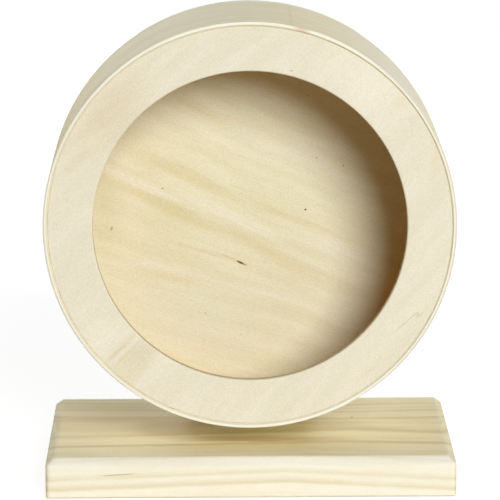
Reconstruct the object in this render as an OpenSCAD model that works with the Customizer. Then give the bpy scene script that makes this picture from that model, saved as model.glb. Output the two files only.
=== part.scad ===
// Wooden exercise wheel for a small rodent, on a stand with one post behind the wheel.
// Millimetres. X is across the base, Y runs from the front of the wheel to the back, Z is up.
// The origin is the centre of the base's underside. The wheel turns about an axle along Y.

/* [Wheel] */
// Outside diameter of the wheel
wheel_d = 200; // [170:1:300]
// Depth of the wheel, from the rim's front edge to its rear edge
wheel_depth = 75; // [60:1:85]
// Thickness of the bent wood rim
rim_t = 2; // [1.5:0.1:4]
// Thickness of the flat ring round the opening
ring_t = 5; // [3:0.5:9]
// Width of that ring, from the opening to the rim
ring_w = 22; // [12:1:40]
// How far the ring lies behind the rim's front edge
ring_inset = 0.4; // [0:0.1:2]
// Thickness of the closed back disc
disc_t = 4; // [3:0.5:6]
// Glue line between the rim and the boards inside it
glue_gap = 0.1; // [0.05:0.05:0.2]
// Width of the eased outer edges of the rim
rim_ease = 0.4; // [0.2:0.1:0.7]
// Bevel on the rim's inner edges, and on the ring's front edge beside the rim
seam_bevel = 0.35; // [0.1:0.05:0.4]
// Rounding of the edges of the opening
opening_round = 0.8; // [0.3:0.1:1.4]

/* [Rim joint] */
// Where the rim's outer end stops, clockwise from the top as seen from the front
scarf_at = 12; // [0:1:359]
// Length of the slanted glue joint between the rim's two ends
scarf_l = 12; // [8:1:30]
// Width of the glue line in that joint
scarf_line = 0.15; // [0.1:0.05:0.3]

/* [Hub] */
// Diameter of the hub block
hub_d = 56; // [44:1:80]
// Thickness of the hub block
hub_t = 14; // [13.5:0.5:18]
// Rounding of the hub block's rear edge
hub_round = 2; // [0.5:0.5:4]
// Room round the corners of the bolt head in the hub block
pocket_gap = 1.5; // [1:0.1:2.5]

/* [Base] */
// Width of the base
base_w = 200; // [160:1:300]
// Depth of the base, front to back
base_depth = 120; // [110:1:200]
// Thickness of the base
base_t = 20; // [14:1:30]
// How far the bevel on the top edges runs in from the sides
bevel_run = 4; // [2:0.5:8]
// How far the bevel on the top edges drops down the sides
bevel_drop = 3.5; // [2:0.5:8]
// Rounding of the base's upright corners
corner_r = 2; // [0.5:0.5:4]
// Rounding of the base's bottom edges
under_r = 1.2; // [0.5:0.1:3]

/* [Post] */
// Width of the post, which is also the diameter of its round top
post_w = 64; // [44:1:90]
// Thickness of the post
post_t = 20; // [16:1:26]
// Bevel on the post's long edges
post_bevel = 2; // [0.5:0.5:4]
// Gap between the wheel and the top of the base
wheel_lift = 12; // [6:1:30]
// Gap between the rim's rear edge and the post
rim_gap = 9; // [7:0.5:14]
// Wood left in front of the nut recess
post_web = 9; // [7:0.5:12]
// Diameter of the nut recess
recess_d = 24; // [20:0.5:30]

/* [Bearing] */
// Bore of the ball bearing
bearing_bore = 8; // [7.5:0.1:8.5]
// Outside diameter of the ball bearing
bearing_od = 22; // [21.5:0.1:24]
// Width of the ball bearing
bearing_w = 7; // [6.6:0.1:8]
// Diameter of a ball
ball_d = 3.97; // [3.7:0.01:4.1]
// Number of balls
ball_n = 7; // [5:1:7]
// Depth of the ball grooves in the races
groove_depth = 0.5; // [0.3:0.05:0.7]
// Play of the balls in the grooves and in the cage
ball_gap = 0.06; // [0.04:0.01:0.1]
// Thickness of the bearing's metal shields
shield_t = 0.3; // [0.2:0.05:0.4]
// How far the shields lie inside the bearing's faces
shield_in = 0.3; // [0.2:0.05:0.4]
// Gap between a shield and the inner race
shield_gap = 0.25; // [0.15:0.05:0.4]
// How far a shield's edge reaches into its seat in the outer race
shield_seat = 0.5; // [0.3:0.05:0.7]
// Radial clearance of the bearing in its seat
seat_gap = 0.02; // [0.01:0.01:0.05]

/* [Axle bolt] */
// Radial clearance of the bolt in the bearing
shaft_gap = 0.05; // [0.02:0.01:0.1]
// Radial clearance of the bolt in the wood, the washers and the nut
hole_gap = 0.2; // [0.1:0.05:0.5]
// Width of the bolt head across its flats
head_af = 13; // [12:0.5:14]
// Height of the bolt head
head_h = 5.3; // [4:0.1:5.6]
// Diameter of the round face under the bolt head, and of the spacer
shoulder_d = 11.6; // [10.5:0.1:11.8]
// Height of the round face under the bolt head
shoulder_h = 0.4; // [0.3:0.1:0.8]
// Length of the spacer between the bearing and the front washer
spacer_l = 2; // [1.5:0.1:4]
// Outside diameter of the washers
washer_d = 16; // [14:0.5:18]
// Thickness of the washers
washer_t = 1.6; // [1:0.1:2]
// Width of the nut across its flats
nut_af = 13; // [12:0.5:14]
// Height of the nut with its collar
nut_h = 8; // [7:0.1:10]
// Height of the nut's round collar, which holds the nylon ring
collar_h = 2.6; // [2.2:0.1:3]
// Length of bolt that stands out of the nut
bolt_proud = 0.8; // [0.5:0.1:3]

/* [Post screws] */
// Diameter of the wood screws that hold the post
screw_d = 4.5; // [3.5:0.1:5]
// Length of the wood screws
screw_l = 50; // [40:1:60]
// Head diameter of the wood screws
screw_head_d = 8.8; // [7.5:0.1:9.5]
// Distance between the two wood screws
screw_spacing = 36; // [24:1:40]
// How far the screw heads lie above the base's underside
screw_sink = 0.5; // [0.2:0.1:1.5]
// Clearance round the screws
screw_gap = 0.1; // [0.05:0.05:0.3]

/* [Hidden] */
$fn = 96;
// Hex pieces are drawn as six-sided prisms, from corner to corner
hex_corner = 1 / cos(30);
hex_chamfer = 0.8;
washer_bevel = 0.2;
// The nut's collar, and the groove in it that holds the nylon ring
collar_r = nut_af / 2 - 0.4;
ring_groove_r = collar_r - 0.7;
ring_lip = 0.4;
ring_lip_r = ring_groove_r - 0.5;
ring_floor = 0.2;
// Small distance that lets a cut pass through a face
cut = 1;

wheel_r = wheel_d / 2;
rim_inner_r = wheel_r - rim_t;
board_r = rim_inner_r - glue_gap;
opening_r = rim_inner_r - ring_w;
axle_z = base_t + wheel_lift + wheel_r;

// Places along Y: the post stands at the rear edge of the base's flat top
post_back = base_depth / 2 - bevel_run;
post_front = post_back - post_t;
rim_rear = post_front - rim_gap;
rim_front = rim_rear - wheel_depth;
front_washer_y = post_front - washer_t;
spacer_y = front_washer_y - spacer_l;
bearing_y = spacer_y - bearing_w;
hub_y = spacer_y - hub_t;
disc_y = hub_y - disc_t;
rear_washer_y = post_front + post_web;
nut_y = rear_washer_y + washer_t;

pitch_r = (bearing_bore + bearing_od) / 4;
ball_r = ball_d / 2;
groove_r = ball_r + ball_gap;
inner_land_r = pitch_r - ball_r + groove_depth;
outer_land_r = pitch_r + ball_r - groove_depth;
shield_inner_r = inner_land_r + shield_gap;
shield_outer_r = outer_land_r + shield_seat;

bolt_r = bearing_bore / 2 - shaft_gap;
bolt_end_y = nut_y + nut_h + bolt_proud;
pocket_r = head_af * hex_corner / 2 + pocket_gap;

screw_y = post_front + post_t / 2;
screw_head_h = (screw_head_d - screw_d) / 2;

// Colours
poplar = [0.92, 0.88, 0.79];
beech_ply = [0.90, 0.84, 0.69];
pine = [0.93, 0.89, 0.76];
steel = [0.72, 0.73, 0.75];
race_steel = [0.80, 0.81, 0.83];
nylon = [0.90, 0.90, 0.86];
cage_nylon = [0.20, 0.22, 0.25];

// Puts a piece drawn round the Z axis on the axle, with its lower end at y
module on_axle(y) {
    translate([0, y, axle_z]) rotate([-90, 0, 0]) children();
}

// A turned piece from the axle's centre outwards: an outline of [radius, height] points
module turned(outline) {
    rotate_extrude() polygon(outline);
}

// A flat ring or tube, with a bevel on its outer edges
module tube(r_in, r_out, h, bevel = 0) {
    turned([
        [r_in, 0], [r_out - bevel, 0], [r_out, bevel],
        [r_out, h - bevel], [r_out - bevel, h], [r_in, h]
    ]);
}

// A hexagon bar whose corners are turned off at one or both ends
module hex_bar(across_flats, h, front_chamfer, rear_chamfer) {
    corner_r = across_flats * hex_corner / 2;
    slope = tan(30);
    intersection() {
        cylinder(r = corner_r, h = h, $fn = 6);
        turned([
            [0, 0], [corner_r - front_chamfer, 0], [corner_r, front_chamfer * slope],
            [corner_r, h - rear_chamfer * slope], [corner_r - rear_chamfer, h], [0, h]
        ]);
    }
}

// A rectangle of size w by h, standing on the X axis, with round corners at the bottom
module bottom_rounded(w, h, r) {
    difference() {
        translate([-w / 2, 0]) square([w, h]);
        for (side = [-1, 1]) {
            difference() {
                translate([side > 0 ? w / 2 - r : -w / 2 - cut, -cut]) square([r + cut, r + cut]);
                translate([side * (w / 2 - r), r]) circle(r);
            }
        }
    }
}

// The outline of the base seen from one side, with bevelled top edges and eased bottom edges
module base_outline(w) {
    intersection() {
        bottom_rounded(w, base_t, under_r);
        polygon([
            [-w / 2, -cut], [w / 2, -cut], [w / 2, base_t - bevel_drop],
            [w / 2 - bevel_run, base_t], [bevel_run - w / 2, base_t], [-w / 2, base_t - bevel_drop]
        ]);
    }
}

// The outline of the base seen from above, with round corners
module base_plan() {
    square([base_w - 2 * corner_r, base_depth], center = true);
    square([base_w, base_depth - 2 * corner_r], center = true);
    for (x = [-1, 1], y = [-1, 1]) {
        translate([x * (base_w / 2 - corner_r), y * (base_depth / 2 - corner_r)]) circle(corner_r);
    }
}

module at_screws() {
    for (side = [-1, 1]) {
        translate([side * screw_spacing / 2, screw_y, 0]) children();
    }
}

// A countersunk wood screw pointing up, grown all round by gap
module screw_shape(gap) {
    tip_h = screw_d;
    turned([
        [0, -gap], [screw_head_d / 2 + gap, -gap], [screw_d / 2 + gap, screw_head_h - gap],
        [screw_d / 2 + gap, screw_l - tip_h], [0, screw_l + gap]
    ]);
}

// The space that a screw and its head's way in take up in the wood
module screw_hole() {
    translate([0, 0, screw_sink]) screw_shape(screw_gap);
    translate([0, 0, -cut]) cylinder(r = screw_head_d / 2 + screw_gap, h = screw_sink + cut);
}

// Solid pine board that everything stands on
module base_board() {
    color(pine) difference() {
        intersection() {
            linear_extrude(base_t) base_plan();
            translate([0, base_depth / 2, 0]) rotate([90, 0, 0])
                linear_extrude(base_depth) base_outline(base_w);
            translate([-base_w / 2, 0, 0]) rotate([90, 0, 90])
                linear_extrude(base_w) base_outline(base_depth);
        }
        at_screws() screw_hole();
    }
}

// Pine post with a round top, bored for the axle and recessed for the nut
module upright_post() {
    half_w = post_w / 2;
    color(pine) difference() {
        union() {
            translate([0, post_front, base_t]) linear_extrude(axle_z - base_t) polygon([
                [post_bevel - half_w, 0], [half_w - post_bevel, 0], [half_w, post_bevel],
                [half_w, post_t - post_bevel], [half_w - post_bevel, post_t],
                [post_bevel - half_w, post_t], [-half_w, post_t - post_bevel], [-half_w, post_bevel]
            ]);
            on_axle(post_front) turned([
                [0, 0], [half_w - post_bevel, 0], [half_w, post_bevel],
                [half_w, post_t - post_bevel], [half_w - post_bevel, post_t], [0, post_t]
            ]);
        }
        on_axle(post_front - cut) cylinder(r = bolt_r + hole_gap, h = post_t + 2 * cut);
        on_axle(rear_washer_y) cylinder(d = recess_d, h = post_t);
        at_screws() screw_hole();
    }
}

// Two countersunk wood screws, driven from below through the base into the post
module post_screws() {
    slot_w = 0.9;
    slot_l = 4.4;
    slot_h = 1.6;
    color(steel) at_screws() translate([0, 0, screw_sink]) difference() {
        screw_shape(0);
        for (turn = [0, 90]) {
            rotate([0, 0, turn]) translate([-slot_l / 2, -slot_w / 2, -cut])
                cube([slot_l, slot_w, slot_h + cut]);
        }
    }
}

// Hexagon bolt whose head is shut in the hub block, and whose shank is the axle
module axle_bolt() {
    head_y = bearing_y - shoulder_h - head_h;
    shank_l = bolt_end_y - bearing_y;
    end_chamfer = 1;
    color(steel) {
        on_axle(head_y) hex_bar(head_af, head_h, hex_chamfer, 0);
        on_axle(head_y + head_h) cylinder(d = shoulder_d, h = shoulder_h);
        on_axle(bearing_y) turned([
            [0, 0], [bolt_r, 0], [bolt_r, shank_l - end_chamfer],
            [bolt_r - end_chamfer, shank_l], [0, shank_l]
        ]);
    }
}

// The circle that a ball sweeps, as seen in the half plane of a race
module ball_groove() {
    translate([pitch_r, bearing_w / 2]) circle(groove_r);
}

module bearing_inner_race() {
    color(race_steel) on_axle(bearing_y) rotate_extrude() difference() {
        translate([bearing_bore / 2, 0]) square([inner_land_r - bearing_bore / 2, bearing_w]);
        ball_groove();
    }
}

// The outer race, stepped at both ends for the shields
module bearing_outer_race() {
    step_h = shield_in + shield_t;
    color(race_steel) on_axle(bearing_y) rotate_extrude() difference() {
        translate([outer_land_r, 0]) square([bearing_od / 2 - outer_land_r, bearing_w]);
        ball_groove();
        for (y = [-cut, bearing_w - step_h]) {
            translate([outer_land_r - cut, y]) square([cut + shield_seat, step_h + cut]);
        }
    }
}

module shield() {
    tube(shield_inner_r, shield_outer_r - seat_gap, shield_t);
}

module front_shield() {
    color(steel) on_axle(bearing_y + shield_in) shield();
}

module rear_shield() {
    color(steel) on_axle(bearing_y + bearing_w - shield_in - shield_t) shield();
}

module at_balls() {
    for (i = [0 : ball_n - 1]) {
        rotate([0, 0, i * 360 / ball_n]) translate([pitch_r, 0, bearing_w / 2]) children();
    }
}

module bearing_balls() {
    color(race_steel) on_axle(bearing_y) at_balls() sphere(ball_r);
}

// Crown cage: a ring that runs behind the balls, whose pockets reach just past their middles
module ball_cage() {
    cage_t = 0.55 * (outer_land_r - inner_land_r);
    grip = ball_r * 0.45;
    back = ball_r * 0.3;
    color(cage_nylon) on_axle(bearing_y) difference() {
        translate([0, 0, bearing_w / 2 - grip])
            tube(pitch_r - cage_t / 2, pitch_r + cage_t / 2, grip + ball_r + ball_gap + back);
        at_balls() sphere(groove_r);
    }
}

// Keeps the front washer clear of the bearing's shields
module spacer_sleeve() {
    color(steel) on_axle(spacer_y) tube(bolt_r + hole_gap, shoulder_d / 2, spacer_l, washer_bevel);
}

// One washer on the front of the post, one in its recess
module axle_washers() {
    color(steel) for (y = [front_washer_y, rear_washer_y]) {
        on_axle(y) tube(bolt_r + hole_gap, washer_d / 2, washer_t, washer_bevel);
    }
}

// Self-locking hexagon nut with a round collar at its rear end
module lock_nut() {
    hex_h = nut_h - collar_h;
    color(steel) on_axle(nut_y) difference() {
        union() {
            hex_bar(nut_af, hex_h, hex_chamfer, hex_chamfer);
            tube(bolt_r, collar_r, nut_h, ring_lip);
        }
        translate([0, 0, -cut]) cylinder(r = bolt_r + shaft_gap, h = nut_h + 2 * cut);
        translate([0, 0, hex_h + ring_floor])
            cylinder(r = ring_groove_r, h = collar_h - ring_floor - ring_lip);
        translate([0, 0, nut_h - ring_lip - cut]) cylinder(r = ring_lip_r, h = ring_lip + 2 * cut);
    }
}

module nut_nylon_ring() {
    ring_h = collar_h - ring_floor - ring_lip;
    color(nylon) on_axle(nut_y + nut_h - collar_h + ring_floor)
        tube(bolt_r + shaft_gap, ring_groove_r - seat_gap, ring_h);
}

// Flat plywood ring that closes the front of the rim down to the opening
module front_ring() {
    round_x = opening_r + opening_round;
    color(poplar) on_axle(rim_front + ring_inset) rotate_extrude() {
        polygon([
            [round_x, 0], [board_r - seam_bevel, 0], [board_r, seam_bevel],
            [board_r, ring_t], [round_x, ring_t]
        ]);
        translate([opening_r, opening_round]) square([ring_w / 2, ring_t - 2 * opening_round]);
        for (y = [opening_round, ring_t - opening_round]) translate([round_x, y]) circle(opening_round);
    }
}

// The rim before its joint is cut: its outer edges are eased in two flats, its inner ones bevelled
module rim_ring() {
    flat = rim_ease * (1 - cos(45));
    turned([
        [rim_inner_r + seam_bevel, 0], [wheel_r - rim_ease, 0], [wheel_r - flat, flat], [wheel_r, rim_ease],
        [wheel_r, wheel_depth - rim_ease], [wheel_r - flat, wheel_depth - flat],
        [wheel_r - rim_ease, wheel_depth], [rim_inner_r + seam_bevel, wheel_depth],
        [rim_inner_r, wheel_depth - seam_bevel], [rim_inner_r, seam_bevel]
    ]);
}

// One strip of thin wood bent round, its two ends glued together on a slant
module rim_band() {
    slant = scarf_l * 180 / (PI * wheel_r);
    over = 0.5;
    outer_r = wheel_r + over;
    inner_r = rim_inner_r - over;
    over_angle = slant * over / rim_t;
    line_angle = scarf_line * slant / rim_t;
    start = scarf_at - over_angle;
    end = scarf_at + slant + over_angle;
    color(poplar) on_axle(rim_front) difference() {
        rim_ring();
        translate([0, 0, -cut]) linear_extrude(wheel_depth + 2 * cut) polygon([
            outer_r * [sin(start), -cos(start)],
            outer_r * [sin(start + line_angle), -cos(start + line_angle)],
            inner_r * [sin(end + line_angle), -cos(end + line_angle)],
            inner_r * [sin(end), -cos(end)]
        ]);
    }
}

// Closed plywood disc at the back of the wheel, glued inside the rim
module back_disc() {
    color(beech_ply) on_axle(disc_y) cylinder(r = board_r, h = disc_t);
}

// Turned wood block glued behind the disc: a seat for the bearing, and a pocket for the bolt head
module hub_block() {
    hub_r = hub_d / 2;
    color(pine) on_axle(hub_y) difference() {
        rotate_extrude() union() {
            square([hub_r - hub_round, hub_t]);
            square([hub_r, hub_t - hub_round]);
            translate([hub_r - hub_round, hub_t - hub_round]) circle(hub_round);
        }
        translate([0, 0, -cut]) cylinder(r = pocket_r, h = hub_t + 2 * cut);
        translate([0, 0, hub_t - bearing_w]) cylinder(r = bearing_od / 2 + seat_gap, h = bearing_w + cut);
    }
}

base_board();
upright_post();
post_screws();
axle_bolt();
bearing_inner_race();
spacer_sleeve();
axle_washers();
lock_nut();
nut_nylon_ring();
front_ring();
rim_band();
back_disc();
hub_block();
bearing_outer_race();
front_shield();
rear_shield();
bearing_balls();
ball_cage();
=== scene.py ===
import math

import bpy
from mathutils import Matrix, Vector


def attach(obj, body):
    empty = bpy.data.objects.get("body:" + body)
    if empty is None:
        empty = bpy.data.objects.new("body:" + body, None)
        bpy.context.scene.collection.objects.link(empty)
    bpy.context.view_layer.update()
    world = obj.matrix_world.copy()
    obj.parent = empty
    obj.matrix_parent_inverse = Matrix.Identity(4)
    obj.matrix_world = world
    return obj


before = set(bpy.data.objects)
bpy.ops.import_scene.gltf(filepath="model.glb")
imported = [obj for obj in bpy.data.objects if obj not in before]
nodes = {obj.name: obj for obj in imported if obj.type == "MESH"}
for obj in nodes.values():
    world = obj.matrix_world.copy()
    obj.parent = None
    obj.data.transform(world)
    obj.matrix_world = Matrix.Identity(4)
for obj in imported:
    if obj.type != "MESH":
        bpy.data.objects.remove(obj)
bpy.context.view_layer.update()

X, Y, Z = (1, 0, 0), (0, 1, 0), (0, 0, 1)
AXLE_Z = 132.0
WHEEL_R = 100.0
WHEEL_DEPTH = 75.0
RIM_FRONT_Y = -48.0
RIM_T = 2.0
RIM_INNER_R = WHEEL_R - RIM_T
RING_FRONT_Y = -47.6
RING_T = 5.0
DISC_FRONT_Y = 14.4
DISC_T = 4.0
# The rim's slanted joint: where it starts, in degrees clockwise from the top, its length, and how
# thick its glue line is
SCARF_AT = 12.0
SCARF_L = 12.0
SCARF_LINE = 0.15
BASE_FRONT_Y = -60.0
BASE_TOP_Z = 20.0
# Solid pine: how far its edges are eased, and the height below which they stay crisp
PINE_SOFTNESS = 3.6
PINE_CRISP_BELOW = 7
# Marks of the lathe on the hub block, in radians for each millimetre
LATHE_MARKS = 9.0
# How much a raw wood or its glue reflects besides its own colour
RAW_GLOSS = 0.08
# A colour ramp holds few stops, so it takes this many growth-ring lines
LINES_PER_RAMP = 8


def colour(red, green, blue):
    """A colour given as it looks on a screen, 0 to 255, as the linear value that a shader takes."""
    def linear(v):
        v = v / 255
        return v / 12.92 if v <= 0.04045 else ((v + 0.055) / 1.055) ** 2.4
    return linear(red), linear(green), linear(blue), 1.0


# Painted shade for the groove between the ring and the rim
PAINTED_GROOVE_SHADE = colour(204, 196, 164)
WORN_EDGE = colour(252, 246, 226)


class Finish:
    """One material, built from nodes.

    Every step takes plain values or sockets and returns a socket.
    """

    def __init__(self, name, softness=0.5, crisp_below=None):
        """Edges are eased by softness, in millimetres, but not below the height crisp_below."""
        self.softness = softness
        self.crisp_below = crisp_below
        self.material = bpy.data.materials.new(name)
        self.material.use_nodes = True
        self.tree = self.material.node_tree
        self.tree.nodes.clear()
        self.place = self.vector("SCALE", self.add("TexCoord").outputs["Object"], scale=1000)

    def from_axle(self):
        """Places measured from the wheel's axle instead of the base."""
        return self.vector("SUBTRACT", self.place, (0, 0, AXLE_Z))

    def add(self, kind, inputs=None, **settings):
        """Adds a shader node. Its inputs go by name or number."""
        node = self.tree.nodes.new("ShaderNode" + kind)
        for key, value in settings.items():
            setattr(node, key, value)
        for key, value in (inputs or {}).items():
            if isinstance(value, bpy.types.NodeSocket):
                self.tree.links.new(value, node.inputs[key])
            else:
                node.inputs[key].default_value = value
        return node

    def calc(self, operation, *values):
        """The result of a Math node."""
        return self.add("Math", dict(enumerate(values)), operation=operation).outputs[0]

    def vector(self, operation, *values, scale=None):
        """The result of a VectorMath node."""
        inputs = dict(enumerate(values))
        if scale is not None:
            inputs["Scale"] = scale
        node = self.add("VectorMath", inputs, operation=operation)
        return node.outputs["Value" if operation in ("LENGTH", "DOT_PRODUCT") else "Vector"]

    def along(self, place, direction):
        """How far a place lies along a direction."""
        return self.vector("DOT_PRODUCT", place, direction)

    def join(self, x, y, z):
        """A vector made of three values."""
        return self.add("CombineXYZ", {"X": x, "Y": y, "Z": z}).outputs[0]

    def radius(self, place):
        """How far a place is from the Y axis."""
        return self.vector("LENGTH", self.join(self.along(place, X), 0.0, self.along(place, Z)))

    def facing(self, direction):
        """How squarely the surface faces along a direction or against it, 0 to 1."""
        normal = self.add("NewGeometry").outputs["Normal"]
        return self.calc("ABSOLUTE", self.along(normal, direction))

    def level(self, value, low, high, to_low=0.0, to_high=1.0):
        """Eases a value from one range into another."""
        inputs = {
            "Value": value, "From Min": low, "From Max": high, "To Min": to_low, "To Max": to_high,
        }
        return self.add("MapRange", inputs, interpolation_type="SMOOTHSTEP").outputs["Result"]

    def noise(self, place, size, detail=2.0, roughness=0.5):
        """Noise whose features have a size in millimetres along each axis of place."""
        inputs = {
            "Vector": self.vector("DIVIDE", place, size),
            "Scale": 1, "Detail": detail, "Roughness": roughness,
        }
        return self.add("TexNoise", inputs).outputs[0]

    def mix(self, share, first, second):
        """Mixes two colours. A Mix node's sockets for colours are numbers 6, 7 and 2."""
        inputs = {0: share, 6: first, 7: second}
        return self.add("Mix", inputs, data_type="RGBA").outputs[2]

    def product(self, *values):
        """The values multiplied together."""
        result = values[0]
        for value in values[1:]:
            result = self.calc("MULTIPLY", result, value)
        return result

    def total(self, *values):
        """The values added up."""
        result = values[0]
        for value in values[1:]:
            result = self.calc("ADD", result, value)
        return result

    def wobble(self, value, amount):
        """Noise about zero, amount high."""
        return self.calc("MULTIPLY", self.calc("SUBTRACT", value, 0.5), amount)

    def spot(self, place, centre, size, angle=0.0, soft=1.0):
        """A soft ellipse in the XZ plane: 1 in its middle, 0 outside.

        Its size is half its width and height, and its angle is counter-clockwise from X.
        """
        turned = self.add("Mapping", {
            "Vector": place, "Location": (centre[0], 0, centre[1]),
            "Rotation": (0, -math.radians(angle), 0), "Scale": (size[0], 1e6, size[1]),
        }, vector_type="TEXTURE").outputs[0]
        return self.level(self.vector("LENGTH", turned), 1.0, 1.0 - soft)

    def ramp(self, value, stops, low, high, interpolation="LINEAR"):
        """A grey or coloured ramp. Its stops are [place, value or colour], from low to high."""
        inputs = {"Value": value, "From Min": low, "From Max": high}
        share = self.add("MapRange", inputs).outputs["Result"]
        node = self.add("ValToRGB", {"Fac": share})
        node.color_ramp.interpolation = interpolation
        elements = node.color_ramp.elements
        while len(elements) > 1:
            elements.remove(elements[-1])
        for i, (place, shade) in enumerate(sorted(stops, key=lambda stop: stop[0])):
            spot = max(0.0, min(1.0, (place - low) / (high - low)))
            element = elements[0] if i == 0 else elements.new(spot)
            element.position = spot
            element.color = shade if isinstance(shade, tuple) else (shade, shade, shade, 1)
        return node.outputs[0]

    def edge(self, radius):
        """1 on sharp outer and inner edges, 0 on flats."""
        bent = self.add("Bevel", {"Radius": radius / 1000}, samples=6).outputs[0]
        flat = self.add("NewGeometry").outputs["Normal"]
        return self.level(self.vector("DOT_PRODUCT", bent, flat), 0.98, 0.75)

    def rounded(self):
        """The surface's direction, eased over the edges.

        A Mix node's sockets for vectors are numbers 4, 5 and 1.
        """
        bent = self.add("Bevel", {"Radius": self.softness / 1000}, samples=6).outputs[0]
        if self.crisp_below is None:
            return bent
        flat = self.add("NewGeometry").outputs["Normal"]
        height = self.along(self.place, Z)
        share = self.level(height, self.crisp_below - 2, self.crisp_below + 2)
        mixed = self.add("Mix", {0: share, 4: flat, 5: bent}, data_type="VECTOR").outputs[1]
        return self.vector("NORMALIZE", mixed)

    def end(self, shade, roughness, height, relief, **shader):
        """Joins colour, roughness and a relief in millimetres to the surface."""
        bump = self.add("Bump", {
            "Height": height, "Distance": relief / 1000, "Strength": 1.0, "Normal": self.rounded(),
        }).outputs[0]
        inputs = {"Base Color": shade, "Roughness": roughness, "Normal": bump}
        inputs.update({key.replace("_", " "): value for key, value in shader.items()})
        surface = self.add("BsdfPrincipled", inputs).outputs[0]
        self.add("OutputMaterial", {"Surface": surface})
        return self.material


def fibres(f, grain):
    """Three sizes of wood fibre, on places whose first axis runs along the grain."""
    broad = f.noise(grain, (46, 7, 7), 2.0, 0.5)
    streak = f.noise(grain, (20, 0.9, 0.9), 3.0, 0.6)
    fuzz = f.noise(grain, (1.1, 0.42, 0.42), 2.0, 0.65)
    return broad, streak, fuzz


def wood_end(f, shade, fibre, amounts, relief=0.05, unsanded=0.0):
    """Adds fibre to a wood's colour by these amounts, and to its roughness and relief.

    Unsanded is 1 where the wood is rougher.
    """
    light = f.total(1.0, *[f.wobble(noise, amount) for noise, amount in zip(fibre, amounts)])
    shade = f.vector("SCALE", shade, scale=light)
    _, streak, fuzz = fibre
    roughness = f.total(0.66, f.wobble(fuzz, 0.25), f.wobble(streak, 0.1), f.product(unsanded, 0.3))
    height = f.total(f.wobble(streak, 0.4), f.wobble(fuzz, 1.0))
    return f.end(shade, roughness, height, relief, Specular_IOR_Level=RAW_GLOSS)


def flat_grain(f, place, angle, bend=0.001):
    """Places turned so that the first axis runs along the grain, in a board that faces the front.

    The angle is counter-clockwise from X, and bend makes the fibres fan out.
    """
    a = math.radians(angle)
    u = f.along(place, (math.cos(a), 0, math.sin(a)))
    v = f.along(place, (-math.sin(a), 0, math.cos(a)))
    warp = f.noise(place, (60, 60, 60), 1.0)
    v = f.total(v, f.product(u, v, bend), f.wobble(warp, 9.0))
    return f.join(u, v, f.along(place, Y))


def drifted(f, place, grain, size, reach):
    """Places pushed about by slow noise, so that what is drawn there gets uneven borders."""
    inputs = {"Vector": f.vector("DIVIDE", grain, size), "Scale": 1, "Detail": 2.0}
    push = f.vector("SUBTRACT", f.add("TexNoise", inputs).outputs["Color"], (0.5, 0.5, 0.5))
    return f.vector("ADD", place, f.vector("SCALE", push, scale=reach))


def spotted(f, shade, place, spots):
    """Adds soft ellipses: centre, half size, angle, colour, strength and maybe softness."""
    for centre, size, angle, tint, strength, *soft in spots:
        mask = f.spot(place, centre, size, angle, *soft)
        shade = f.mix(f.product(mask, strength), shade, tint)
    return shade


def plies(f, place, front, thickness, wood, line):
    """The layers that show on a plywood edge, three of them, with thin glue lines."""
    depth = f.total(f.along(place, Y), f.wobble(f.noise(place, (9, 9, 9), 2.0), 0.35))
    core = colour(214, 194, 150)
    layers = [(0.0, wood), (0.27, line), (0.30, core), (0.70, line), (0.73, wood)]
    stops = [[front + thickness * share, shade] for share, shade in layers]
    return f.ramp(depth, stops, front, front + thickness, "CONSTANT")


def facing_front(f):
    """1 on the flat faces of the wheel's boards, 0 on their edges."""
    return f.level(f.facing(Y), 0.45, 0.6)


def rear_veneer(f, fibre):
    """The browner, unsanded veneer on the faces that the wheel hides inside."""
    return f.mix(f.level(fibre[1], 0.3, 0.7), colour(220, 163, 84), colour(232, 184, 108))


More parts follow.
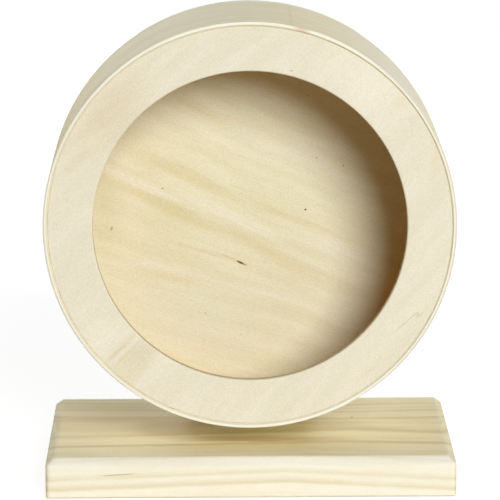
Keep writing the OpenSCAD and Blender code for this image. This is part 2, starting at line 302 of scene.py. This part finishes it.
def ring_ply():
    """Pale poplar ply, with the brown patches and the fine lines of this ring."""
    f = Finish("ring_ply")
    place = f.from_axle()
    grain = flat_grain(f, place, 43)
    fibre = fibres(f, grain)
    warped = drifted(f, place, grain, (30, 5, 5), 6)
    shade = f.mix(f.level(fibre[0], 0.35, 0.7), colour(234, 228, 206), colour(237, 231, 211))
    brown, pale, olive = colour(214, 192, 148), colour(246, 240, 222), colour(224, 213, 168)
    pink = colour(228, 208, 180)
    shade = spotted(f, shade, warped, [
        [(-64.5, -60.5), (16, 2.2), 46, brown, 0.50],
        [(-60.5, -63.5), (15, 1.6), 47, brown, 0.30],
        [(-52, -62), (18, 8), 44, brown, 0.20],
        [(-78, 47), (26, 7), 40, brown, 0.10],
        [(-83, 33), (16, 5), 36, brown, 0.20],
        [(-60, 68), (30, 6), 42, pink, 0.14],
        [(-40, 82), (22, 3), 44, pale, 0.24],
        [(-34, 84), (20, 2.2), 46, pink, 0.15],
        [(-62, 60), (30, 1.6), 44, pale, 0.20],
        [(70, 60.5), (7, 4), 40, olive, 0.45],
        [(91, 36), (24, 4), 70, olive, 0.30],
        [(77.5, -46.5), (16, 0.7), 34, colour(200, 180, 140), 0.50],
        [(60, -70), (26, 2.5), 36, brown, 0.12],
        [(20, -88), (24, 4), 40, brown, 0.10],
        [(40, 84), (9, 3), 30, olive, 0.22],
        [(56, 68), (36, 22), -40, pale, 0.75],
        [(-66, 55), (34, 20), 44, brown, 0.30],
        [(-71, -54), (20, 13), 44, pale, 0.55],
        [(-58, -70), (22, 8), 44, olive, 0.28, 0.6],
    ])
    nick = colour(120, 92, 52)
    shade = spotted(f, shade, place, [
        [(20.0, 76.2), (0.9, 0.5), 0, nick, 0.5, 0.7],
        [(66.2, 37.4), (0.8, 1.0), 0, nick, 0.5, 0.7],
    ])
    layers = plies(f, place, RING_FRONT_Y, RING_T, colour(240, 230, 204), colour(206, 184, 146))
    shade = f.mix(facing_front(f), layers, shade)
    rear = RING_FRONT_Y + RING_T
    behind = f.product(f.level(f.along(place, Y), rear - 0.4, rear - 0.1), facing_front(f))
    shade = f.mix(behind, shade, rear_veneer(f, fibre))
    shade = f.mix(f.product(f.edge(0.6), 0.45), shade, colour(247, 240, 220))
    # Painted shade in the groove next to the rim
    by_rim = f.level(f.radius(place), RIM_INNER_R - 0.7, RIM_INNER_R - 0.3, 0.0, 0.6)
    shade = f.mix(by_rim, shade, PAINTED_GROOVE_SHADE)
    lively = f.spot(place, (-64, 64), (60, 36), 45)
    return wood_end(f, shade, fibre, (0.02, f.level(lively, 0, 1, 0.055, 0.12), 0.38))


def disc_ply():
    """The back disc's ply: darker, with broad bands, pin knots and one mineral streak."""
    f = Finish("disc_ply")
    place = f.from_axle()
    grain = flat_grain(f, place, -23)
    fibre = fibres(f, grain)
    warped = drifted(f, place, grain, (40, 5, 5), 6)
    shade = f.mix(f.level(fibre[0], 0.3, 0.7), colour(229, 225, 190), colour(234, 231, 201))
    pale, olive = colour(240, 236, 218), colour(214, 200, 142)
    shade = spotted(f, shade, warped, [
        # Painted light: paler and greener on the lower left, to offset the orange light that the
        # rim's inside bounces there
        [(-38, -58), (66, 36), -20, colour(229, 230, 202), 0.75],
        [(-74, 4), (18, 36), 0, colour(214, 202, 160), 0.45],
        [(-30, 13.5), (46, 4.6), -27, olive, 0.42, 0.8],
        [(24, -9), (46, 3.4), -23, olive, 0.34, 0.8],
        [(-54, 10), (50, 3.6), -27, pale, 0.50],
        [(-8, -8), (40, 5), -26, pale, 0.55],
        [(46, -24), (30, 7), -26, pale, 0.50],
        [(-44, -1), (46, 5), -26, olive, 0.42, 0.8],
        [(12, -25.5), (44, 5.5), -27, colour(212, 194, 138), 0.34, 0.8],
        [(-44, -33), (40, 3), -14, pale, 0.36],
        [(6, -46), (44, 3), -15, pale, 0.36],
        [(-40, -38), (30, 4), -12, olive, 0.32],
        [(-26, -73), (36, 3.4), -14, colour(240, 230, 208), 0.45],
        [(5, 30), (60, 10), -22, pale, 0.22],
        [(-20, 46), (30, 4), -22, olive, 0.25],
    ])
    dark = colour(96, 66, 34)
    shade = spotted(f, shade, place, [
        [(-24, -24.5), (30, 1.8), -17, colour(208, 192, 140), 0.32, 1.0],
        [(-10, -28.2), (9, 0.7), -24, colour(190, 164, 104), 0.32, 1.0],
        [(-4.2, -30.9), (3.0, 0.75), -26, dark, 0.9, 0.6],
        [(-2.0, -31.9), (1.6, 0.7), -20, colour(196, 146, 72), 0.7, 0.8],
        [(-43.0, 7.2), (0.55, 0.55), 0, dark, 0.7, 0.5],
        [(-68.7, -13.0), (0.9, 1.6), -10, colour(150, 120, 70), 0.6, 0.8],
        [(28.4, -3.9), (0.7, 0.6), 0, dark, 0.9, 0.4],
        [(47.3, 18.4), (0.5, 0.7), 0, dark, 0.5, 0.6],
        [(33.9, 22.5), (0.45, 0.45), 0, dark, 0.5, 0.6],
        [(-22.0, -56.9), (0.7, 0.7), 0, colour(150, 120, 70), 0.45, 0.8],
        [(-3.6, 4.4), (0.4, 0.4), 0, dark, 0.5, 0.6],
        [(29.4, 53.8), (0.5, 0.5), 0, dark, 0.5, 0.6],
        [(-3.9, -67.9), (0.6, 0.5), 0, dark, 0.35, 0.8],
    ])
    layers = plies(f, place, DISC_FRONT_Y, DISC_T, colour(228, 212, 172), colour(170, 138, 92))
    shade = f.mix(facing_front(f), layers, shade)
    return wood_end(f, shade, fibre, (0.03, 0.12, 0.40))


def round_places(f, place, start):
    """Places on the rim: how far round from the angle start, along the axle, and from the axle."""
    across = f.along(place, (math.cos(start), 0, -math.sin(start)))
    upright = f.along(place, (-math.sin(start), 0, -math.cos(start)))
    turn = f.calc("MULTIPLY", f.calc("ARCTAN2", across, upright), WHEEL_R)
    return turn, f.along(place, Y), f.radius(place)


def rim_wood():
    """The bent strip: grain that runs round, pale cut edges, a brown inside, a stained joint."""
    f = Finish("rim_wood", 0.06)
    place = f.from_axle()
    turn, depth, radius = round_places(f, place, math.radians(15))
    fibre = fibres(f, f.join(turn, depth, radius))
    shade = f.mix(f.level(fibre[0], 0.3, 0.7), colour(239, 227, 186), colour(244, 233, 193))
    # Painted light: the rim is paler and whiter on its upper right, the side that faces the key
    # lamp
    painted_light_patch = f.product(f.spot(place, (74, 66), (52, 60)), 0.7)
    shade = f.mix(painted_light_patch, shade, colour(244, 239, 226))
    inside = f.level(radius, RIM_INNER_R + 0.8, RIM_INNER_R + 0.3)
    middle = (RING_FRONT_Y + DISC_FRONT_Y) / 2
    reach = (DISC_FRONT_Y - RING_FRONT_Y) / 2
    from_middle = f.calc("ABSOLUTE", f.calc("SUBTRACT", depth, middle))
    unsanded = f.product(inside, f.level(from_middle, reach + 0.6, reach - 0.4))
    shade = f.mix(unsanded, shade, rear_veneer(f, fibre))
    cut = f.mix(f.level(fibre[1], 0.35, 0.65), colour(249, 245, 226), colour(253, 251, 237))
    shade = f.mix(facing_front(f), shade, cut)
    # Painted shade in the groove next to the ring
    groove = f.level(radius, RIM_INNER_R + 0.8, RIM_INNER_R + 0.4)
    shade = f.mix(f.product(groove, facing_front(f), 0.5), shade, PAINTED_GROOVE_SHADE)
    # Painted shade: the front's outer corner is greyer at both sides of the wheel, where its
    # rounding turns away from the light
    side = f.level(f.calc("ABSOLUTE", f.along(place, (1 / WHEEL_R, 0, 0))), 0.35, 0.75)
    front = f.level(depth, RIM_FRONT_Y + 1.0, RIM_FRONT_Y + 0.6)
    outer = f.level(radius, WHEEL_R - 1.0, WHEEL_R - 0.6)
    shade = f.mix(f.product(side, front, outer, 0.55), shade, colour(200, 196, 180))
    near_front = f.level(depth, RIM_FRONT_Y + 1.5, RIM_FRONT_Y + 0.7)
    stain = f.product(f.spot(place, (25, 96), (6, 2.4), -15, 0.9), near_front)
    shade = f.mix(f.product(stain, 0.5), shade, colour(214, 168, 140))
    return wood_end(f, shade, fibre, (0.03, 0.015, 0.09), unsanded=unsanded)


# Growth-ring lines of the base board: place across the rings in millimetres, and strength
PINE_LINES = [
    (-14.4, 0.2), (-8.3, 1.0), (-3.4, 0.8), (0.6, 0.1), (5.0, 0.4), (7.0, 0.3), (11.2, 0.8),
    (13.6, 0.2), (17.4, 0.8), (20.9, 0.3), (23.2, 0.6), (26.8, 0.5), (28.6, 0.25), (30.8, 0.45),
    (35.0, 0.3),
]


def ring_lines(f, value, lines, rise, fall):
    """Dark lines that stop within rise below their place and fade within fall above it."""
    found = None
    for start in range(0, len(lines), LINES_PER_RAMP):
        part = lines[start:start + LINES_PER_RAMP]
        low, high = part[0][0] - rise - 1, part[-1][0] + fall + 1
        stops = [[low, 0.0], [high, 0.0]]
        for spot, strength in part:
            stops += [[spot - rise, 0.0], [spot, strength], [spot + fall, 0.0]]
        mask = f.ramp(value, stops, low, high)
        found = mask if found is None else f.calc("MAXIMUM", found, mask)
    return found


def pine(name, lines, along, rings, bow):
    """Solid pine with its grain along a direction.

    Its growth rings are sheets across the direction rings, and bow lifts them along the board.
    """
    f = Finish(name, PINE_SOFTNESS, PINE_CRISP_BELOW)
    place = f.place
    length = f.along(place, along)
    warp = f.noise(place, (90, 90, 90), 2.0)
    across = f.total(f.along(place, rings), bow(f, length), f.wobble(warp, 0.8))
    side = Vector(along).cross(Vector(rings))
    grain = f.join(length, across, f.along(place, tuple(side)))
    fibre = fibres(f, grain)
    jitter = f.wobble(f.noise(grain, (8, 1.1, 5), 3.0), 0.9)
    line = ring_lines(f, f.calc("ADD", across, jitter), lines, 1.3, 2.6)
    line = f.product(line, f.level(f.noise(grain, (70, 4, 40), 1.0), 0.2, 0.6, 0.6, 1.0))
    # Painted shade: the top and the ends are darker and browner than the front, blended over the
    # rounded edges
    top = f.level(f.along(f.rounded(), Z), 0.86, 0.99)
    top = f.calc("MAXIMUM", top, f.level(f.facing(X), 0.4, 0.6, 0.0, 0.7))
    pale = f.mix(top, colour(249, 244, 223), colour(229, 218, 173))
    bright = f.mix(top, colour(252, 248, 231), colour(235, 225, 183))
    shade = f.mix(f.level(fibre[0], 0.3, 0.7), pale, bright)
    dark = f.mix(top, colour(212, 194, 142), colour(176, 148, 84))
    shade = f.mix(f.product(line, f.level(top, 0, 1, 0.48, 0.62)), shade, dark)
    return f, grain, shade, fibre, top


def base_bow(f, length):
    """The base's rings run straight down to both sides from a peak right of the middle.

    This bow is strong in front and turns over at the back.
    """
    left_slope, right_slope = 0.036, 0.055
    depth = f.along(f.place, Y)
    peak = f.level(depth, BASE_FRONT_Y, -30, 18, 50)
    left = f.product(f.calc("MAXIMUM", f.calc("SUBTRACT", peak, length), 0.0), left_slope)
    right = f.product(f.calc("MAXIMUM", f.calc("SUBTRACT", length, peak), 0.0), right_slope)
    # The ramp holds 0 to 1 for a bow of -1 to 1
    stops = [
        [BASE_FRONT_Y, 1.0], [-50, 0.68], [-32, 0.75], [-12, 0.9], [2, 0.65], [16, 0.35], [32, 0.3],
        [-BASE_FRONT_Y, 0.35],
    ]
    share = f.calc("MULTIPLY_ADD", f.ramp(depth, stops, BASE_FRONT_Y, -BASE_FRONT_Y), 2.0, -1.0)
    return f.product(f.calc("ADD", left, right), share)


def post_bow(f, length):
    """The post's rings arch away from the height middle, by 1 mm at a distance of reach."""
    middle, reach = 70, 67
    away = f.calc("DIVIDE", f.calc("SUBTRACT", length, middle), reach)
    return f.calc("POWER", f.calc("ABSOLUTE", away), 2.0)


def base_pine():
    """The base's pine: end grain, a resin line in front, a pin knot, and marks and painted shade on
    its top.
    """
    f, grain, shade, fibre, top = pine("base_pine", PINE_LINES, X, (0, 0.276, 0.961), base_bow)
    place = f.place
    end = f.level(f.facing(X), 0.8, 0.95)
    pores = f.noise(place, (3, 0.5, 0.5), 2.0, 0.7)
    end_shade = f.mix(f.level(pores, 0.35, 0.65), colour(214, 194, 146), colour(234, 218, 178))
    shade = f.mix(f.product(end, 0.7), shade, end_shade)
    resin = f.spot(place, (-65, 12.0), (12, 0.42), 3.5, 0.7)
    front = f.level(f.along(place, Y), BASE_FRONT_Y + 2.5, BASE_FRONT_Y + 1.5)
    shade = f.mix(f.product(resin, front, 0.6), shade, colour(158, 134, 80))
    # A broad brown band on the left, at one place across the rings
    brown_ring = 22.2
    band = f.level(f.calc("ABSOLUTE", f.calc("SUBTRACT", f.along(grain, Y), brown_ring)), 3.2, 0.5)
    left = f.level(f.along(place, X), 10, -60)
    shade = f.mix(f.product(band, left, 0.4), shade, colour(206, 184, 132))
    from_knot = f.vector("SUBTRACT", place, (52, 15.7, BASE_TOP_Z))
    knot = f.vector("LENGTH", f.vector("MULTIPLY", from_knot, (1, 0.6, 0.3)))
    shade = f.mix(f.level(knot, 1.1, 0.5, 0.0, 0.6), shade, colour(150, 120, 70))
    # The marks and the painted shade on the top are placed by X and Y
    upper = f.join(f.along(place, X), 0.0, f.along(place, Y))
    spots = spotted(f, shade, drifted(f, upper, grain, (30, 3, 3), 4), [
        # Painted light: the top's front strip is paler, where its rounded edge turns to the lamp
        [(0, -50), (104, 9), 0, colour(242, 234, 204), 0.55, 0.6],
        # Painted shadow of the wheel on the top, with a brown streak in it
        [(2, -24), (62, 9), -1, colour(172, 140, 84), 0.5, 0.8],
        [(9, -29), (14, 1.6), -2, colour(132, 92, 52), 0.4],
        [(37, 1.5), (9, 1.3), 0, colour(160, 128, 80), 0.5],
        # Painted shade under the wheel's right side
        [(46, 3), (28, 17), 0, colour(206, 188, 140), 0.6],
        # These four are painted shade of the wheel on the back left, with the wood's darker bands
        # in it
        [(-70, 14), (60, 9), 2, colour(204, 176, 96), 0.6],
        [(-72, 38), (60, 12), 0, colour(222, 202, 130), 0.6],
        [(-42, -4), (26, 22), 3, colour(186, 158, 92), 0.6, 0.7],
        [(-66, -7), (46, 10), 0, colour(204, 182, 122), 0.5],
    ])
    shade = f.mix(f.level(f.along(place, Z), BASE_TOP_Z - 0.5, BASE_TOP_Z - 0.1), shade, spots)
    shade = f.mix(f.product(f.edge(0.8), 0.15), shade, WORN_EDGE)
    return wood_end(f, shade, fibre, (0.01, 0.06, f.level(top, 0, 1, 0.17, 0.28)))


def post_pine():
    """The post's pine. Its ring lines are about 4 mm apart and of uneven strength."""
    lines = []
    for i in range(18):
        spot = -30 + 4.1 * i + 0.9 * math.sin(2.3 * i)
        lines.append((spot, 0.45 + 0.3 * math.sin(1.7 * i)))
    f, _, shade, fibre, _ = pine("post_pine", lines, Z, (0.82, 0.57, 0), post_bow)
    shade = f.mix(f.product(f.edge(0.8), 0.15), shade, WORN_EDGE)
    return wood_end(f, shade, fibre, (0.02, 0.06, 0.10))


def hub_wood():
    """Turned wood with fine rings left by the lathe tool."""
    f = Finish("hub_wood")
    place = f.from_axle()
    grain = flat_grain(f, place, 8)
    fibre = fibres(f, grain)
    shade = f.mix(f.level(fibre[1], 0.3, 0.7), colour(229, 211, 168), colour(241, 228, 192))
    turned = f.calc("SINE", f.product(f.total(f.radius(place), f.along(place, Y)), LATHE_MARKS))
    shade = f.mix(f.level(turned, -1.0, 1.0, 0.0, 0.12), shade, colour(190, 158, 108))
    shade = f.mix(f.product(f.edge(0.7), 0.4), shade, colour(246, 232, 200))
    return wood_end(f, shade, fibre, (0.05, 0.07, 0.10), 0.03)


def metal(name, shade, roughness, turned=0.0):
    """Plated or ground steel with stains, bright worn edges and, where turned, lathe marks."""
    f = Finish(name)
    place = f.from_axle()
    cloud = f.noise(place, (6, 6, 6), 3.0, 0.6)
    fine = f.noise(place, (0.5, 0.5, 0.5), 2.0, 0.6)
    rings = f.noise(f.join(f.radius(place), 0.0, 0.0), (0.18, 1, 1), 3.0, 0.7)
    dull = tuple(0.8 * v for v in shade[:3]) + (1.0,)
    tone = f.mix(f.level(cloud, 0.3, 0.7), dull, shade)
    tone = f.mix(f.product(f.edge(0.25), 0.5), tone, colour(236, 236, 234))
    uneven = [f.wobble(cloud, 0.22), f.wobble(fine, 0.12), f.wobble(rings, 0.2 * turned)]
    rough = f.total(roughness, *uneven)
    height = f.total(f.wobble(fine, 0.5), f.wobble(rings, turned))
    return f.end(tone, rough, height, 0.012, Metallic=1.0)


def nylon(name, shade):
    """Moulded nylon with a fine grain and faint mottling."""
    f = Finish(name)
    cloud = f.noise(f.place, (2.5, 2.5, 2.5), 2.0)
    fine = f.noise(f.place, (0.25, 0.25, 0.25), 2.0)
    dull = tuple(0.82 * v for v in shade[:3]) + (1.0,)
    tone = f.mix(f.level(cloud, 0.3, 0.7), dull, shade)
    tone = f.mix(f.product(f.edge(0.2), 0.3), tone, colour(244, 244, 238))
    rough = f.total(0.42, f.wobble(cloud, 0.15), f.wobble(fine, 0.1))
    return f.end(tone, rough, fine, 0.01, Subsurface_Weight=0.15, Subsurface_Scale=0.001)


def dress(name, material):
    """Gives a CAD node its finish."""
    for slot in nodes[name].material_slots:
        slot.material = material


def dry_glue(name, dull, clear, roughness):
    """Wood glue that has dried yellowish and cloudy."""
    f = Finish(name, 0.1)
    cloud = f.noise(f.place, (3, 3, 3), 2.0)
    fine = f.noise(f.place, (0.4, 0.4, 0.4), 2.0)
    shade = f.mix(f.level(cloud, 0.3, 0.7), dull, clear)
    rough = f.total(roughness, f.wobble(cloud, 0.2), f.wobble(fine, 0.1))
    height = f.total(f.wobble(cloud, 1.0), f.wobble(fine, 0.4))
    return f.end(shade, rough, height, 0.03, Specular_IOR_Level=RAW_GLOSS)


zinc = metal("zinc_steel", colour(196, 198, 200), 0.36, 0.6)
ground = metal("bearing_steel", colour(214, 215, 217), 0.16, 0.5)
pressed = metal("shield_steel", colour(186, 187, 190), 0.30, 0.9)
finishes = {
    ring_ply(): ["front_ring"],
    disc_ply(): ["back_disc"],
    rim_wood(): ["rim_band"],
    base_pine(): ["base_board"],
    post_pine(): ["upright_post"],
    hub_wood(): ["hub_block"],
    zinc: ["post_screws", "axle_bolt", "spacer_sleeve", "axle_washers", "lock_nut"],
    ground: ["bearing_inner_race", "bearing_outer_race", "bearing_balls"],
    pressed: ["front_shield", "rear_shield"],
    nylon("nut_nylon", colour(226, 226, 214)): ["nut_nylon_ring"],
    nylon("cage_nylon", colour(64, 70, 78)): ["ball_cage"],
}
for material, names in finishes.items():
    for name in names:
        dress(name, material)


def solid(name, points, faces, material, body, smooth=True):
    """A closed piece made of points in millimetres, which rides on a body."""
    mesh = bpy.data.meshes.new(name)
    mesh.from_pydata([tuple(v / 1000 for v in p) for p in points], [], faces)
    mesh.materials.append(material)
    for face in mesh.polygons:
        face.use_smooth = smooth
    piece = bpy.data.objects.new(name, mesh)
    bpy.context.scene.collection.objects.link(piece)
    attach(piece, body)
    return piece


def glue_bead(name, material, steps=720):
    """The bead of dried glue in the groove between the ring and the rim, sunk in here and there."""
    # Its section: radius and depth behind the ring's front. Its middle corners sag
    outline = [
        (97.66, 0.14), (97.80, 0.22), (97.92, 0.20), (98.03, 0.10), (98.04, 0.9), (97.84, 0.9),
    ]
    middle = (1, 2)
    # Places where it is sunk, in degrees clockwise from the top, and how deep
    sunk = [
        (23.0, 0.35), (26.8, 0.9), (31.0, 0.4), (-44.0, 0.25),
        (118.0, 0.3), (203.0, 0.35), (262.0, 0.25),
    ]
    sunk_width = 0.55
    points, faces = [], []
    for i in range(steps):
        turn = 2 * math.pi * i / steps
        degrees = 360 * i / steps
        uneven = math.sin(7.3 * degrees / 9) * math.sin(degrees / 31) + math.sin(degrees / 4.7) ** 3
        sag = 0.035 * uneven
        for place, depth in sunk:
            away = (degrees - place + 180) % 360 - 180
            sag += depth * math.exp(-(away / sunk_width) ** 2)
        for k, (radius, behind) in enumerate(outline):
            y = RING_FRONT_Y + (behind + (sag if k in middle else 0))
            points.append((radius * math.sin(turn), y, AXLE_Z + radius * math.cos(turn)))
    count = len(outline)
    for i in range(steps):
        here, after = i * count, (i + 1) % steps * count
        for k in range(count):
            n = (k + 1) % count
            faces.append((here + k, here + n, after + n, after + k))
    return solid(name, points, faces, material, "wheel")


def across_gap(radius, line):
    """Where a wall of the rim's joint crosses a radius.

    The wall is given by its two ends, each as radius and degrees.
    """
    (r0, a0), (r1, a1) = line
    start = Vector((r0 * math.sin(math.radians(a0)), r0 * math.cos(math.radians(a0))))
    step = Vector((r1 * math.sin(math.radians(a1)), r1 * math.cos(math.radians(a1)))) - start
    a, b, c = step.dot(step), 2 * start.dot(step), start.dot(start) - radius ** 2
    t = (-b - math.sqrt(b * b - 4 * a * c)) / (2 * a)
    return start + step * t


def scarf_glue(name, material):
    """The glue that fills the slanted joint of the rim, flush with the wood."""
    # How far the joint's walls are drawn past the rim's faces, to cut them there
    over = 0.5
    slant = math.degrees(SCARF_L / WHEEL_R)
    beyond = slant * over / RIM_T
    first = [
        (WHEEL_R + over, SCARF_AT - beyond),
        (WHEEL_R - RIM_T - over, SCARF_AT + slant + beyond),
    ]
    wide = SCARF_LINE * slant / RIM_T
    second = [(radius, degrees + wide) for radius, degrees in first]
    # The front half of its section, just inside the rim's eased edges: radius, and distance from
    # the front
    half = [
        (WHEEL_R - 0.008, 0.42), (WHEEL_R - 0.42, 0.01),
        (RIM_INNER_R + 0.4, 0.01), (RIM_INNER_R + 0.05, 0.4),
    ]
    rear = RIM_FRONT_Y + WHEEL_DEPTH
    outline = [(radius, RIM_FRONT_Y + inset) for radius, inset in half]
    outline += [(radius, rear - inset) for radius, inset in reversed(half)]
    points = []
    for wall in (first, second):
        for radius, y in outline:
            spot = across_gap(radius, wall)
            points.append((spot.x, y, AXLE_Z + spot.y))
    n = len(outline)
    faces = [tuple(range(n)), tuple(reversed(range(n, 2 * n)))]
    faces += [(i, i + n, (i + 1) % n + n, (i + 1) % n) for i in range(n)]
    return solid(name, points, faces, material, "wheel", smooth=False)


def unseen_white(tree, share):
    """Puts 1 into share for rays that see plain white: the camera's, glossy and transmitted."""
    path = tree.nodes.new("ShaderNodeLightPath")
    found = path.outputs["Is Camera Ray"]
    for name in ("Is Glossy Ray", "Is Transmission Ray"):
        most = tree.nodes.new("ShaderNodeMath")
        most.operation = "MAXIMUM"
        tree.links.new(found, most.inputs[0])
        tree.links.new(path.outputs[name], most.inputs[1])
        found = most.outputs[0]
    tree.links.new(found, share)


def make_world(strength):
    """Even light from all around, which the camera sees as plain white."""
    world = bpy.data.worlds.new("studio")
    bpy.context.scene.world = world
    world.use_nodes = True
    tree = world.node_tree
    tree.nodes.clear()
    room = tree.nodes.new("ShaderNodeBackground")
    room.inputs["Color"].default_value = (1, 1, 1, 1)
    room.inputs["Strength"].default_value = strength
    white = tree.nodes.new("ShaderNodeBackground")
    white.inputs["Color"].default_value = (1, 1, 1, 1)
    white.inputs["Strength"].default_value = 1.0
    mix = tree.nodes.new("ShaderNodeMixShader")
    unseen_white(tree, mix.inputs[0])
    tree.links.new(room.outputs[0], mix.inputs[1])
    tree.links.new(white.outputs[0], mix.inputs[2])
    out = tree.nodes.new("ShaderNodeOutputWorld")
    tree.links.new(mix.outputs[0], out.inputs["Surface"])


def make_floor(size, glow, shadow):
    """A pale cream floor. The camera sees it white, and darker only where the object shades it.

    There its brightness is glow, and shadow is how much the lamps add to that.
    """
    half = size / 2
    # Just under the base, so that no faces coincide
    height = -0.0002
    mesh = bpy.data.meshes.new("floor")
    corners = [(-half, -half), (half, -half), (half, half), (-half, half)]
    mesh.from_pydata([(x, y, height) for x, y in corners], [], [(0, 1, 2, 3)])
    floor = bpy.data.objects.new("floor", mesh)
    bpy.context.scene.collection.objects.link(floor)
    material = bpy.data.materials.new("floor")
    material.use_nodes = True
    tree = material.node_tree
    tree.nodes.clear()
    lit = tree.nodes.new("ShaderNodeBsdfDiffuse")
    lit.inputs["Color"].default_value = colour(206, 193, 166)
    shaded = tree.nodes.new("ShaderNodeBsdfDiffuse")
    shaded.inputs["Color"].default_value = (shadow, shadow, shadow, 1)
    bright = tree.nodes.new("ShaderNodeEmission")
    bright.inputs["Strength"].default_value = glow
    seen = tree.nodes.new("ShaderNodeAddShader")
    mix = tree.nodes.new("ShaderNodeMixShader")
    out = tree.nodes.new("ShaderNodeOutputMaterial")
    tree.links.new(shaded.outputs[0], seen.inputs[0])
    tree.links.new(bright.outputs[0], seen.inputs[1])
    unseen_white(tree, mix.inputs[0])
    tree.links.new(lit.outputs[0], mix.inputs[1])
    tree.links.new(seen.outputs[0], mix.inputs[2])
    tree.links.new(mix.outputs[0], out.inputs["Surface"])
    mesh.materials.append(material)


def make_lamp(name, azimuth, elevation, distance, size, power):
    """A soft round lamp that points at the wheel.

    Azimuth is to the right of the front, in degrees. Distance and size are in metres.
    """
    target = Vector((0, 0, AXLE_Z / 1000))
    a, e = math.radians(azimuth), math.radians(elevation)
    direction = Vector((math.sin(a) * math.cos(e), -math.cos(a) * math.cos(e), math.sin(e)))
    lamp = bpy.data.lights.new(name, "AREA")
    lamp.shape = "DISK"
    lamp.size = size
    lamp.energy = power
    item = bpy.data.objects.new(name, lamp)
    item.location = target + direction * distance
    item.rotation_euler = direction.to_track_quat("Z", "Y").to_euler()
    bpy.context.scene.collection.objects.link(item)


def make_camera(place, yaw, pitch, roll, lens):
    """Place is in metres. Yaw is to the right of straight ahead and pitch downwards, in degrees."""
    camera = bpy.data.cameras.new("camera")
    camera.sensor_width = 36
    camera.sensor_fit = "HORIZONTAL"
    camera.lens = lens
    camera.clip_end = 50
    item = bpy.data.objects.new("camera", camera)
    turn = Matrix.Rotation(-math.radians(yaw), 4, "Z")
    tilt = Matrix.Rotation(math.radians(90 - pitch), 4, "X")
    lean = Matrix.Rotation(math.radians(roll), 4, "Z")
    item.matrix_world = Matrix.Translation(place) @ (turn @ tilt) @ lean
    bpy.context.scene.collection.objects.link(item)
    bpy.context.scene.camera = item


seam_glue = dry_glue("seam_glue", colour(222, 212, 180), colour(236, 228, 200), 0.5)
joint_glue = dry_glue("joint_glue", colour(239, 227, 186), colour(245, 234, 194), 0.66)
glue_bead("rim_glue", seam_glue)
scarf_glue("scarf_glue", joint_glue)

make_world(strength=0.015)
make_floor(size=3, glow=0.86, shadow=0.3)
make_lamp("key", azimuth=18, elevation=21, distance=5, size=2.3, power=237)
make_lamp("rear_box", azimuth=185, elevation=10, distance=1.8, size=1.0, power=19)
make_lamp("left_box", azimuth=255, elevation=5, distance=1.8, size=1.0, power=13)
make_lamp("right_box", azimuth=105, elevation=5, distance=1.8, size=1.0, power=11)
make_camera((-0.01602, -1.63081, 0.45831), yaw=0.5774, pitch=12.0347, roll=-0.175, lens=241.35)
bpy.context.scene.view_settings.view_transform = "Standard"
